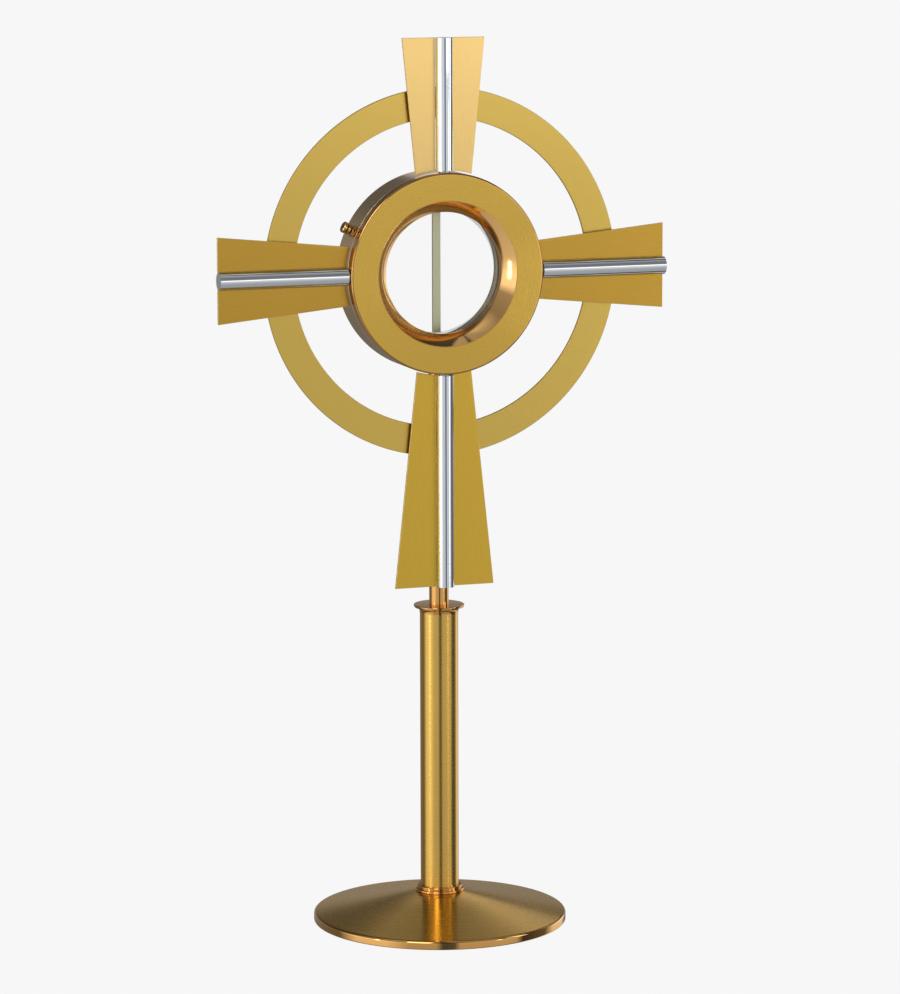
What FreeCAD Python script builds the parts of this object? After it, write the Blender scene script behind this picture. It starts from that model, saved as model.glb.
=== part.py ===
import FreeCAD, Part
import os
from types import SimpleNamespace

import Sketcher

# A standing monstrance in millimetres: +Z up, front towards -Y, origin under the stem's axis.
# "front" and "back" are values of Y; "root" and "reach" are distances from the window's centre.

SIZES = {
    # head
    "window_z": 451.5,
    "arm_reach": 158.5,
    "low_arm_reach": 214.8,
    "seam": 0.3,
    # base
    "base_radius": 87.3,
    "base_lift": 0.5,
    "base_rim_top": 5.2,
    "base_shoulder_top": 6.5,
    "base_shoulder": 1.7,
    "base_crown_radius": 17.4,
    "base_crown_bore": 16.6,
    "base_top": 20.6,
    "base_gauge": 1.6,
    "base_edge_inside": 4.75,
    "felt_radius": 80,
    "felt_top": 1.5,
    "weight_edge": 5.7,
    "weight_crown": 16,
    "weight_recess": 15,
    "weight_recess_top": 8.5,
    # clamping rod
    "rod_radius": 4,
    "rod_hole": 4.3,
    "rod_foot": 1.7,
    "rod_top": 236,
    "rod_thread_end": 236.4,
    "washer_radius": 9,
    "washer_foot": 6.9,
    "nut_radius": 7.4,
    "nut_foot": 2.2,
    # stem
    "stem_radius": 13.15,
    "stem_bore": 11.65,
    "stem_top": 216.2,
    "collar_radius": 16.8,
    "collar_step_radius": 15.6,
    "collar_step": 22.6,
    "collar_top": 25.1,
    "collar_edge": 0.4,
    "stem_plug_top": 29.6,
    "cap_foot": 208.2,
    "cap_throat": 13.3,
    "cap_cove": 14.3,
    "cap_cove_z": 218.4,
    "cap_swell": 16.2,
    "cap_swell_z": 219.7,
    "cap_radius": 17.2,
    "cap_rim_z": 220.4,
    "cap_top": 222.4,
    "cap_edge": 0.3,
    # neck
    "neck_radius": 6.7,
    "neck_top": 384.2,
    "neck_socket": 371,
    "neck_stud_radius": 3,
    "neck_stud_top": 390.5,
    "neck_nut_radius": 5.8,
    "neck_nut_foot": 385.4,
    "neck_nut_top": 389.4,
    # drum
    "drum_radius": 68.3,
    "drum_front": -21.75,
    "drum_back": 13,
    "drum_edge": 0.8,
    "drum_wall": 1.9,
    "drum_back_edge": 0.6,
    "barrel_front": -13.15,
    "bezel_gauge": 1.8,
    "bezel_spigot_back": -9.5,
    "bevel_outer": 49.4,
    "bevel_inner": 41.3,
    "bevel_back": -12.95,
    "bevel_lip_back": -11.75,
    "bevel_outer_inside": 50.19,
    "bevel_inner_inside": 42.64,
    "back_plate_gauge": 2,
    "back_plate_bore": 49.6,
    "sleeve_radius": 50.6,
    "sleeve_bore": 48.9,
    "sleeve_front": -17.5,
    # halo
    "halo_radius": 125.2,
    "halo_bore": 104.6,
    "halo_front": -8.7,
    "halo_back": -6.7,
    "halo_screw_out": 114,
    "halo_screw_aside": 15,
    "halo_screw_radius": 1.25,
    "halo_screw_hole": 1.5,
    "halo_screw_tip": -10.6,
    "halo_head_radius": 2.6,
    "halo_head_back": -5.3,
    "spacer_bore_front": -10.75,
    # screws through the neck
    "backbone_screw_radius": 1.6,
    "backbone_screw_tip": -8.3,
    "backbone_seat": 6,
    "backbone_seat_radius": 3.2,
    "backbone_head_radius": 2.9,
    "backbone_head_back": 8,
    "bracket_z": 252,
    "bracket_width": 40,
    "bracket_height": 10,
    # arms
    "arm_root": 69.4,
    "plate_front": -12.75,
    "plate_back": -11.25,
    "plate_slot": 5.85,
    "arm_half_width": 13.25,
    "arm_flare": 0.1004,
    "low_arm_half_width": 12.25,
    "low_arm_flare": 0.1075,
    "tube_axis": -14.75,
    "tube_radius": 6.05,
    "tube_bore": 5.05,
    "end_plug": 5,
    "root_plug_nose": 4,
    "root_plug_bottom": 80.5,
    "root_plug_reach": 82,
    "arm_stud_radius": 1,
    "arm_stud_root": 61.9,
    "arm_stud_reach": 80,
    "arm_nut_radius": 2.9,
    "arm_nut_root": 62.1,
    "arm_nut_reach": 64.4,
    # thumb screw
    "thumb_y": -7.5,
    "thumb_tip": 48.8,
    "thumb_tip_radius": 1.4,
    "thumb_tip_shoulder": 49.4,
    "thumb_radius": 2,
    "thumb_neck_root": 71.6,
    "thumb_neck_radius": 2.7,
    "thumb_disc_root": 72.4,
    "thumb_disc_reach": 74.2,
    "thumb_disc_radius": 3.75,
    "thumb_cap_root": 75.2,
    "thumb_cap_rim": 76.9,
    "thumb_cap_radius": 3.85,
    "thumb_cap_edge": 3.4,
    "thumb_reach": 77.5,
    "collar_ring_bore": 2.3,
    "collar_ring_radius": 3.9,
    "collar_ring_root": 68.6,
    "collar_ring_reach": 71.3,
    "bush_radius": 4.6,
    "bush_bore": 2.05,
    "bush_root": 51.2,
    "bush_reach": 68,
    # luna
    "case_radius": 48.5,
    "case_bore": 46.6,
    "case_front": -11.35,
    "case_lip_bore": 41.7,
    "case_lip_back": -10.15,
    "flange_radius": 55,
    "flange_front": 13.3,
    "flange_back": 15.3,
    "knurl_bore": 41.9,
    "knurl_back": -4.55,
    "glass_back": -1.95,
    "chamber_bore": 42.2,
    "chamber_back": 6.45,
    "snap_bore": 45.2,
    "snap_back": 8,
    "stay_width": 5.5,
    "stay_front": 2.85,
    "stay_back": 4.85,
    # door
    "door_radius": 53,
    "door_bore": 46.4,
    "door_front": 15.6,
    "door_back": 18.2,
    "door_edge": 0.5,
    "pane_radius": 48.6,
    "pane_front": 16,
    "pane_back": 17.8,
    "knob_x": -49.7,
    "knob_foot_radius": 2.2,
    "knob_foot": 0.8,
    "knob_stalk_radius": 1.3,
    "knob_stalk_foot": 1.2,
    "knob_stalk_end": 3,
    "knob_ball_foot": 3.8,
    "knob_ball_mid": 5.2,
    "knob_ball_top": 6.2,
    "knob_end": 6.4,
    "knob_ball_lower": 2.9,
    "knob_radius": 3.1,
    "knob_ball_upper": 2.4,
    # hinge and catch
    "hinge_x": 57.2,
    "hinge_y": 17,
    "knuckle_radius": 2,
    "knuckle_room": 2.3,
    "knuckle_half": 9,
    "knuckle_gap_half": 3.15,
    "door_knuckle_half": 2.85,
    "leaf_inside": 51.6,
    "leaf_outside": 58.4,
    "door_leaf_front": 16.1,
    "door_leaf_back": 17.9,
    "pin_radius": 1,
    "door_knuckle_bore": 1.05,
    "pin_head_radius": 1.5,
    "pin_head": 0.8,
    "catch_outside": -56.6,
    "catch_leaf_inside": -55.2,
    "catch_foot_inside": -54,
    "catch_back": 18.4,
    "catch_half_height": 4,
    "bead_x": -54.7,
    "bead_radius": 1.3,
}

ARMS = {  # angle from straight up, then the names of the halves on the arm's own +X and -X sides
    "top": (0, "right", "left"),
    "right": (90, "lower", "upper"),
    "bottom": (180, "left", "right"),
    "left": (-90, "upper", "lower"),
}
UP = FreeCAD.Vector(0, 0, 1)
BACK = FreeCAD.Vector(0, 1, 0)
ALONG_Y = FreeCAD.Rotation(UP, BACK)
THUMB_TURN = FreeCAD.Rotation(BACK, -64.5)
ABOUT_Z = "XZ_Plane"
ABOUT_Y = "XY_Plane"


class Size:
    """A length together with the sheet formula that gives it."""

    def __init__(self, value, formula):
        self.value = value
        self.formula = formula

    def __add__(self, other):
        other = sized(other)
        return Size(self.value + other.value, f"({self.formula} + {other.formula})")

    def __sub__(self, other):
        other = sized(other)
        return Size(self.value - other.value, f"({self.formula} - {other.formula})")

    def __mul__(self, other):
        other = sized(other)
        return Size(self.value * other.value, f"({self.formula} * {other.formula})")

    def __truediv__(self, other):
        return Size(self.value / other, f"({self.formula} / {other})")

    def __neg__(self):
        return self * -1


def sized(size):
    """A size as it is, or a plain number as a size."""
    return size if isinstance(size, Size) else Size(size, f"({size})")


D = SimpleNamespace(**{name: Size(value, f"dims.{name}") for name, value in SIZES.items()})
doc = FreeCAD.newDocument("monstrance")
nodes = []


def fill_sheet():
    """Write every size into the sheet under its own name."""
    sheet = doc.addObject("Spreadsheet::Sheet", "dims")
    for row, (name, value) in enumerate(SIZES.items(), 1):
        sheet.set(f"A{row}", name)
        sheet.set(f"B{row}", str(value))
        sheet.setAlias(f"B{row}", name)
    doc.recompute()


def keep(item):
    """List an object as one of the sub-parts to be written out."""
    nodes.append(item)
    return item


def tie(item, **sizes):
    """Bind properties of an object to the sheet."""
    for name, size in sizes.items():
        item.setExpression(name, sized(size).formula)


def place(item, x=0, y=0, z=0, turn=None):
    """Bind an object's position to the sheet and give it a fixed rotation."""
    if turn:
        item.Placement.Rotation = turn
    for axis, size in zip("xyz", (x, y, z)):
        item.setExpression(f"Placement.Base.{axis}", sized(size).formula)
    return item


def outline(body, plane, corners):
    """A closed sketch of straight sides on one of the body's own planes."""
    sketch = body.newObject("Sketcher::SketchObject", f"{body.Name}_outline")
    origin_plane = next(item for item in body.Origin.OriginFeatures if item.Role == plane)
    sketch.AttachmentSupport = [(origin_plane, "")]
    sketch.MapMode = "FlatFace"
    corners = [(sized(across), sized(along)) for across, along in corners]
    points = [FreeCAD.Vector(across.value, along.value, 0) for across, along in corners]
    for start, end in zip(points, points[1:] + points[:1]):
        sketch.addGeometry(Part.LineSegment(start, end))
    for index in range(len(points)):
        after = (index + 1) % len(points)
        sketch.addConstraint(Sketcher.Constraint("Coincident", index, 2, after, 1))
    for index, (across, along) in enumerate(corners):
        for kind, axis, size in (("DistanceX", -2, across), ("DistanceY", -1, along)):
            if size.value == 0:
                sketch.addConstraint(Sketcher.Constraint("PointOnObject", index, 1, axis))
                continue
            number = sketch.addConstraint(Sketcher.Constraint(kind, -1, 1, index, 1, size.value))
            sketch.setExpression(f"Constraints[{number}]", size.formula)
    return sketch


def turned(label, plane, corners):
    """A body of revolution; corners are (radius, place along the axis)."""
    body = doc.addObject("PartDesign::Body", label)
    sketch = outline(body, plane, corners)
    lathe = body.newObject("PartDesign::Revolution", f"{label}_turned")
    lathe.Profile = sketch
    lathe.ReferenceAxis = (sketch, ["V_Axis"])
    lathe.Angle = 360
    doc.recompute()
    return body


def ring(label, bore, radius, front, back):
    """A plain ring round the window's axis."""
    corners = [(bore, front), (radius, front), (radius, back), (bore, back)]
    return place(turned(label, ABOUT_Y, corners), z=D.window_z)


def disc(label, radius, front, back):
    """A plain disc on the window's axis."""
    return ring(label, 0, radius, front, back)


def rod(label, radius, start, end, x=0, y=0, z=0, turn=None):
    """A cylinder between two places on its own axis, which runs through the given point."""
    item = doc.addObject("Part::Cylinder", label)
    tie(item, Radius=radius, Height=sized(end) - start)
    return at_start(item, start, x, y, z, turn)


def at_start(item, start, x, y, z, turn):
    """Place an object that grows along its own +Z from the given start."""
    along = turn.multVec(UP) if turn else UP
    spots = [sized(size) + sized(start) * round(part, 9) for size, part in zip((x, y, z), along)]
    return place(item, *spots, turn=turn)


def rod_y(label, radius, front, back, x=0, z=D.window_z):
    """A cylinder along Y."""
    return rod(label, radius, front, back, x=x, z=z, turn=ALONG_Y)


def hex_nut(label, radius, bore, start, end, **spot):
    """A hexagonal nut between two places on its axis."""
    hexagon = doc.addObject("Part::Prism", f"{label}_hexagon")
    hexagon.Polygon = 6
    tie(hexagon, Circumradius=radius, Height=sized(end) - start)
    where = {"x": 0, "y": 0, "z": 0, "turn": None, **spot}
    at_start(hexagon, start, **where)
    return cut(label, hexagon, rod(f"{label}_bore", bore, start, end, **spot))


def block(label, left, right, front, back, low, high):
    """A box between three pairs of sizes."""
    item = doc.addObject("Part::Box", label)
    tie(item, Length=sized(right) - left, Width=sized(back) - front, Height=sized(high) - low)
    return place(item, left, front, low)


def fused(label, *pieces):
    """Several shapes as one solid."""
    item = doc.addObject("Part::MultiFuse", label)
    item.Shapes = list(pieces)
    doc.recompute()
    return item


def cut(label, base, *tools):
    """The base less the tools."""
    item = doc.addObject("Part::Cut", label)
    item.Base = base
    item.Tool = tools[0] if len(tools) == 1 else fused(f"{label}_tools", *tools)
    doc.recompute()
    return item


def group(label, pieces):
    """Separate identical solids that share one sub-part."""
    item = doc.addObject("Part::Compound", label)
    item.Links = pieces
    doc.recompute()
    return item


def foot():
    """Spun base shell with its weight, felt, and the clamping rod with washer and nut."""
    underside = D.base_top - D.base_gauge
    inside = D.base_radius - D.base_gauge
    keep(turned("base_shell", ABOUT_Z, [
        (D.rod_hole, D.base_top),
        (D.base_crown_radius, D.base_top),
        (D.base_radius - D.base_shoulder, D.base_shoulder_top),
        (D.base_radius, D.base_rim_top),
        (D.base_radius, D.base_lift),
        (inside, D.base_lift),
        (inside, D.base_edge_inside),
        (D.base_crown_bore, underside),
        (D.rod_hole, underside),
    ]))
    keep(turned("base_weight", ABOUT_Z, [
        (D.rod_hole, D.weight_recess_top),
        (D.weight_recess, D.weight_recess_top),
        (D.weight_recess, D.felt_top),
        (D.felt_radius, D.felt_top),
        (D.felt_radius, D.weight_edge),
        (D.weight_crown, underside),
        (D.rod_hole, underside),
    ]))
    keep(rod("base_felt", D.felt_radius, 0, D.felt_top))
    keep(rod("tie_rod", D.rod_radius, D.rod_foot, D.rod_top))
    span = (D.washer_foot, D.weight_recess_top)
    washer = rod("washer_disc", D.washer_radius, *span)
    keep(cut("tie_rod_washer", washer, rod("washer_bore", D.rod_hole, *span)))
    keep(hex_nut("tie_rod_nut", D.nut_radius, D.rod_radius, D.nut_foot, D.washer_foot))


def stem():
    """Collar, foot plug, tube and flanged cap."""
    keep(turned("stem_collar", ABOUT_Z, [
        (D.stem_radius, D.base_top),
        (D.collar_radius, D.base_top),
        (D.collar_radius, D.collar_step - D.collar_edge),
        (D.collar_radius - D.collar_edge, D.collar_step),
        (D.collar_step_radius, D.collar_step),
        (D.collar_step_radius, D.collar_top - D.collar_edge),
        (D.collar_step_radius - D.collar_edge, D.collar_top),
        (D.stem_radius, D.collar_top),
    ]))
    plug = rod("stem_plug_disc", D.stem_bore, D.base_top, D.stem_plug_top)
    keep(cut("stem_foot_plug", plug, rod("stem_plug_bore", D.rod_hole, D.base_top, D.stem_plug_top)))
    tube = rod("stem_tube_outside", D.stem_radius, D.base_top, D.stem_top)
    keep(cut("stem_tube", tube, rod("stem_tube_inside", D.stem_bore, D.base_top, D.stem_top)))
    keep(turned("stem_cap", ABOUT_Z, [
        (D.rod_hole, D.cap_foot),
        (D.stem_bore, D.cap_foot),
        (D.stem_bore, D.stem_top),
        (D.cap_throat, D.stem_top),
        (D.cap_cove, D.cap_cove_z),
        (D.cap_swell, D.cap_swell_z),
        (D.cap_radius, D.cap_rim_z),
        (D.cap_radius, D.cap_top - D.cap_edge),
        (D.cap_radius - D.cap_edge, D.cap_top),
        (D.rod_hole, D.cap_top),
    ]))


def backbone_places():
    """Heights of the two screws that go through the neck, lower one first."""
    return D.bracket_z, D.window_z - (D.halo_radius + D.halo_bore) / 2


def neck():
    """Rod from the cap to the drum, with the stud and nut that hold the drum."""
    blank = turned("neck_blank", ABOUT_Z, [
        (D.rod_radius, D.cap_top),
        (D.neck_radius, D.cap_top),
        (D.neck_radius, D.neck_top),
        (D.neck_stud_radius, D.neck_top),
        (D.neck_stud_radius, D.neck_socket),
        (0, D.neck_socket),
        (0, D.rod_thread_end),
        (D.rod_radius, D.rod_thread_end),
    ])
    tools = [rod_y("neck_cope", D.drum_radius, D.drum_front, D.drum_back)]
    for place_name, height in zip(("low", "high"), backbone_places()):
        tools.append(rod_y(f"neck_drill_{place_name}", D.backbone_screw_radius,
                           -D.neck_radius - 1, D.neck_radius, z=height))
        tools.append(rod_y(f"neck_seat_{place_name}", D.backbone_seat_radius,
                           D.backbone_seat, D.neck_radius + 1, z=height))
    keep(cut("neck_rod", blank, *tools))
    keep(rod("neck_stud", D.neck_stud_radius, D.neck_socket, D.neck_stud_top))
    keep(hex_nut("neck_nut", D.neck_nut_radius, D.neck_stud_radius, D.neck_nut_foot, D.neck_nut_top))


def drum():
    """Bezel with its sloping inner bevel, barrel, rear plate, and the sleeve that guides the luna."""
    wall_inside = D.drum_radius - D.drum_wall
    spigot_bore = wall_inside - D.bezel_gauge
    bezel = turned("bezel_blank", ABOUT_Y, [
        (D.bevel_outer, D.drum_front),
        (D.drum_radius - D.drum_edge, D.drum_front),
        (D.drum_radius, D.drum_front + D.drum_edge),
        (D.drum_radius, D.barrel_front - D.seam),
        (wall_inside, D.barrel_front - D.seam),
        (wall_inside, D.bezel_spigot_back),
        (spigot_bore, D.bezel_spigot_back),
        (spigot_bore, D.drum_front + D.bezel_gauge),
        (D.bevel_outer_inside, D.drum_front + D.bezel_gauge),
        (D.bevel_inner_inside, D.bevel_lip_back),
        (D.bevel_inner, D.bevel_lip_back),
        (D.bevel_inner, D.bevel_back),
    ])
    span = (spigot_bore - 2, D.drum_radius + 2)
    bezel_drills = [thumb_rod("bezel_bush_drill", D.bush_radius, *span)]
    for name, (angle, *_) in ARMS.items():
        bezel_drills.append(arm_rod(f"bezel_drill_{name}", angle, D.arm_stud_radius, *span))
    keep(cut("front_bezel", place(bezel, z=D.window_z), *bezel_drills))
    barrel = turned("barrel_blank", ABOUT_Y, [
        (wall_inside, D.barrel_front),
        (D.drum_radius, D.barrel_front),
        (D.drum_radius, D.drum_back - D.drum_back_edge),
        (D.drum_radius - D.drum_back_edge, D.drum_back),
        (wall_inside, D.drum_back),
    ])
    low = D.window_z - D.drum_radius
    neck_drill = rod("barrel_neck_drill", D.neck_stud_radius, low - 2, low + D.drum_wall + 2)
    bush_drill = thumb_rod("barrel_bush_drill", D.bush_radius, *span)
    keep(cut("drum_barrel", place(barrel, z=D.window_z), neck_drill, bush_drill))
    plate_front = D.drum_back - D.back_plate_gauge
    keep(ring("back_plate", D.back_plate_bore, wall_inside, plate_front, D.drum_back))
    sleeve = ring("sleeve_blank", D.sleeve_bore, D.sleeve_radius, D.sleeve_front, plate_front)
    sleeve_drill = thumb_rod("sleeve_drill", D.collar_ring_bore, D.sleeve_bore - 2, D.sleeve_radius + 2)
    keep(cut("luna_sleeve", sleeve, sleeve_drill))


def thumb_rod(label, radius, root, reach):
    """A cylinder on the thumb screw's axis."""
    return rod(label, radius, root, reach, y=D.thumb_y, z=D.window_z, turn=THUMB_TURN)


def thumb_screw():
    """Grooved screw through the drum's wall, the loose collar under its head, and its bush."""
    def on_axis(body):
        return keep(place(body, y=D.thumb_y, z=D.window_z, turn=THUMB_TURN))

    on_axis(turned("thumb_screw", ABOUT_Z, [
        (0, D.thumb_tip),
        (D.thumb_tip_radius, D.thumb_tip),
        (D.thumb_radius, D.thumb_tip_shoulder),
        (D.thumb_radius, D.thumb_neck_root),
        (D.thumb_neck_radius, D.thumb_neck_root),
        (D.thumb_neck_radius, D.thumb_disc_root),
        (D.thumb_disc_radius, D.thumb_disc_root),
        (D.thumb_disc_radius, D.thumb_disc_reach),
        (D.thumb_neck_radius, D.thumb_disc_reach),
        (D.thumb_neck_radius, D.thumb_cap_root),
        (D.thumb_cap_radius, D.thumb_cap_root),
        (D.thumb_cap_radius, D.thumb_cap_rim),
        (D.thumb_cap_edge, D.thumb_reach),
        (0, D.thumb_reach),
    ]))
    on_axis(turned("thumb_screw_collar", ABOUT_Z, [
        (D.collar_ring_bore, D.collar_ring_root),
        (D.collar_ring_radius, D.collar_ring_root),
        (D.collar_ring_radius, D.collar_ring_reach - D.seam),
        (D.collar_ring_radius - D.seam, D.collar_ring_reach),
        (D.collar_ring_bore, D.collar_ring_reach),
    ]))
    bush = thumb_rod("bush_outside", D.bush_radius, D.bush_root, D.bush_reach)
    keep(cut("thumb_screw_bush", bush, thumb_rod("bush_bore", D.bush_bore, D.bush_root, D.bush_reach)))


def arm_rod(label, angle, radius, root, reach):
    """A cylinder on the axis of an arm's tube."""
    turn = FreeCAD.Rotation(BACK, angle)
    return rod(label, radius, root, reach, y=D.tube_axis, z=D.window_z, turn=turn)


def arm_plate(arm, angle, half, side):
    """One flat half of an arm, flaring from the drum to the arm's end."""
    low_arm = arm == "bottom"
    half_width = D.low_arm_half_width if low_arm else D.arm_half_width
    flare = D.low_arm_flare if low_arm else D.arm_flare
    reach = D.low_arm_reach if low_arm else D.arm_reach
    root = D.drum_radius - D.drum_wall * 4
    body = doc.addObject("PartDesign::Body", f"plate_blank_{arm}_{half}")
    sketch = outline(body, "XZ_Plane", [
        (D.plate_slot * side, root),
        ((half_width + flare * root) * side, root),
        ((half_width + flare * reach) * side, reach),
        (D.plate_slot * side, reach),
    ])
    pad = body.newObject("PartDesign::Pad", f"plate_pad_{arm}_{half}")
    pad.Profile = sketch
    tie(pad, Length=D.plate_back - D.plate_front)
    place(body, y=D.plate_back, z=D.window_z, turn=FreeCAD.Rotation(BACK, angle))
    cope = rod_y(f"plate_cope_{arm}_{half}", D.arm_root, D.plate_front - 1, D.plate_back + 1)
    keep(cut(f"arm_{arm}_{half}_plate", body, cope))


def arms():
    """Two plates and a tube for each arm, and the plugs, studs and nuts that hold the tubes."""
    parts = {"arm_root_plugs": [], "arm_studs": [], "arm_stud_nuts": [], "arm_end_plugs": []}
    for arm, (angle, plus_half, minus_half) in ARMS.items():
        reach = D.low_arm_reach if arm == "bottom" else D.arm_reach
        arm_plate(arm, angle, plus_half, 1)
        arm_plate(arm, angle, minus_half, -1)
        tube = arm_rod(f"tube_outside_{arm}", angle, D.tube_radius, D.drum_radius - 1, reach)
        bore = arm_rod(f"tube_inside_{arm}", angle, D.tube_bore, D.drum_radius - 2, reach)
        cope = rod_y(f"tube_cope_{arm}", D.arm_root, D.drum_front, D.drum_back)
        keep(cut(f"arm_{arm}_tube", tube, bore, cope))
        plug = turned(f"root_plug_{arm}", ABOUT_Z, [
            (D.arm_stud_radius, D.drum_radius),
            (D.root_plug_nose, D.drum_radius),
            (D.root_plug_nose, D.arm_root),
            (D.tube_bore, D.arm_root),
            (D.tube_bore, D.root_plug_reach),
            (0, D.root_plug_reach),
            (0, D.root_plug_bottom),
            (D.arm_stud_radius, D.root_plug_bottom),
        ])
        turn = FreeCAD.Rotation(BACK, angle)
        parts["arm_root_plugs"].append(place(plug, y=D.tube_axis, z=D.window_z, turn=turn))
        parts["arm_studs"].append(
            arm_rod(f"arm_stud_{arm}", angle, D.arm_stud_radius, D.arm_stud_root, D.arm_stud_reach))
        parts["arm_stud_nuts"].append(
            hex_nut(f"arm_nut_{arm}", D.arm_nut_radius, D.arm_stud_radius, D.arm_nut_root,
                    D.arm_nut_reach, y=D.tube_axis, z=D.window_z, turn=turn))
        parts["arm_end_plugs"].append(
            arm_rod(f"end_plug_{arm}", angle, D.tube_bore, reach - D.end_plug, reach))
    for label, pieces in parts.items():
        keep(group(label, pieces))


def halo_screw_places():
    """(x, z) of the two screws behind each arm."""
    out = D.halo_screw_out
    aside = D.halo_screw_aside
    ways = ((aside, out), (-aside, out), (aside, -out), (-aside, -out),
            (out, aside), (out, -aside), (-out, aside), (-out, -aside))
    return [(x, D.window_z + z) for x, z in ways]


def halo():
    """Flat ring behind the arms, with the spacers and screws that hold the plates to it."""
    blank = ring("halo_blank", D.halo_bore, D.halo_radius, D.halo_front, D.halo_back)
    through = (D.halo_front - 1, D.halo_back + 1)
    drills = [rod_y("halo_drill_neck", D.backbone_screw_radius, *through, z=backbone_places()[1])]
    spacers = []
    screws = []
    for number, (x, z) in enumerate(halo_screw_places(), 1):
        drills.append(rod_y(f"halo_drill_{number}", D.halo_screw_hole, *through, x=x, z=z))
        outside = rod_y(f"spacer_outside_{number}", D.halo_head_radius, D.plate_back, D.halo_front, x, z)
        bore = rod_y(f"spacer_bore_{number}", D.halo_screw_radius, D.spacer_bore_front, D.halo_front, x, z)
        spacers.append(cut(f"spacer_{number}", outside, bore))
        shank = rod_y(f"halo_shank_{number}", D.halo_screw_radius, D.halo_screw_tip, D.halo_back, x, z)
        head = rod_y(f"halo_head_{number}", D.halo_head_radius, D.halo_back, D.halo_head_back, x, z)
        screws.append(fused(f"halo_screw_{number}", shank, head))
    keep(cut("halo_ring", blank, *drills))
    keep(group("halo_spacers", spacers))
    keep(group("halo_screws", screws))


def backbone():
    """Bracket between the neck and the bottom arm, and the two screws through the neck."""
    low = D.bracket_z - D.bracket_height / 2
    high = D.bracket_z + D.bracket_height / 2
    bar = block("bracket_bar", -D.bracket_width / 2, D.bracket_width / 2,
                D.plate_back, D.halo_back, low, high)
    groove = rod("bracket_groove", D.tube_radius, low - 1, high + 1, y=D.tube_axis)
    drill = rod_y("bracket_drill", D.backbone_screw_radius, D.backbone_screw_tip, D.halo_back + 1,
                  z=D.bracket_z)
    keep(cut("lower_bracket", bar, groove, drill))
    screws = []
    for place_name, height in zip(("low", "high"), backbone_places()):
        shank = rod_y(f"backbone_shank_{place_name}", D.backbone_screw_radius,
                      D.backbone_screw_tip, D.backbone_seat, z=height)
        head = rod_y(f"backbone_head_{place_name}", D.backbone_head_radius,
                     D.backbone_seat, D.backbone_head_back, z=height)
        screws.append(fused(f"backbone_screw_{place_name}", shank, head))
    keep(group("backbone_screws", screws))


def luna():
    """Glazed capsule: case, knurled ring, glass, clear chamber ring, snap ring and upright stay."""
    case = turned("luna_case", ABOUT_Y, [
        (D.case_lip_bore, D.case_front),
        (D.case_radius, D.case_front),
        (D.case_radius, D.flange_front),
        (D.flange_radius, D.flange_front),
        (D.flange_radius, D.flange_back),
        (D.case_bore, D.flange_back),
        (D.case_bore, D.case_lip_back),
        (D.case_lip_bore, D.case_lip_back),
    ])
    keep(place(case, z=D.window_z))
    keep(ring("luna_knurled_ring", D.knurl_bore, D.case_bore, D.case_lip_back, D.knurl_back))
    keep(disc("luna_front_glass", D.case_bore, D.knurl_back, D.glass_back))
    keep(ring("luna_chamber_ring", D.chamber_bore, D.case_bore, D.glass_back, D.chamber_back))
    keep(ring("luna_snap_ring", D.snap_bore, D.case_bore, D.chamber_back, D.snap_back))
    strip = block("stay_strip", -D.stay_width / 2, D.stay_width / 2, D.stay_front, D.stay_back,
                  D.window_z - D.case_bore, D.window_z + D.case_bore)
    bore = rod_y("stay_bore", D.chamber_bore, D.stay_front - 1, D.stay_back + 1)
    stay = doc.addObject("Part::Common", "host_stay")
    stay.Base = strip
    stay.Tool = bore
    keep(stay)


def hinge_rod(label, radius, low, high):
    """A cylinder on the hinge's axis, between two heights from the window's centre."""
    return rod(label, radius, D.window_z + low, D.window_z + high, x=D.hinge_x, y=D.hinge_y)


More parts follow.
